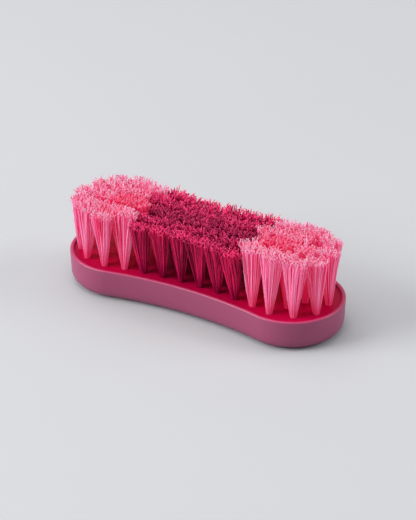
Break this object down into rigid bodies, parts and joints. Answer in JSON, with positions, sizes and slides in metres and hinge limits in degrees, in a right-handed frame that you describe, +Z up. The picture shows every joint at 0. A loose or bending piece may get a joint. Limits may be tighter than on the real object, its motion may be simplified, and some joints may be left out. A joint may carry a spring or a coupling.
{
  "type": "grooming brush",
  "caption": "Waisted hand brush for grooming horses: stiff filament tufts, pale at both ends and dark in the middle, in a solid block with a soft outer skin",
  "frame": {"origin": "centre of the body's flat underside, on the surface that the brush rests on when it lies on its back", "axes": "+X along the body, from the left round end to the right one; +Y across it; +Z up, from the back of the brush to the tips of its tufts"},
  "size_m": [0.18, 0.064, 0.0545],
  "materials": {
    "soft_skin": "satin, soft to the touch, mauve magenta",
    "hard_block": "moulded, semi-gloss crimson",
    "pale_filament": "translucent pale pink filament",
    "dark_filament": "translucent dark magenta filament",
    "anchor_wire": "flat drawn wire"
  },
  "bodies": {
    "root": {"grip_shell": "soft_skin", "tuft_block": "hard_block", "front_edge_left_tufts": "pale_filament", "front_edge_middle_tufts": "dark_filament", "front_edge_right_tufts": "pale_filament", "front_inner_left_tufts": "pale_filament", "front_inner_middle_tufts": "dark_filament", "front_inner_right_tufts": "pale_filament", "centre_left_tufts": "pale_filament", "centre_middle_tufts": "dark_filament", "centre_right_tufts": "pale_filament", "back_inner_left_tufts": "pale_filament", "back_inner_middle_tufts": "dark_filament", "back_inner_right_tufts": "pale_filament", "back_edge_left_tufts": "pale_filament", "back_edge_middle_tufts": "dark_filament", "back_edge_right_tufts": "pale_filament", "front_edge_anchors": "anchor_wire", "front_inner_anchors": "anchor_wire", "centre_anchors": "anchor_wire", "back_inner_anchors": "anchor_wire", "back_edge_anchors": "anchor_wire"}
  },
  "joints": []
}
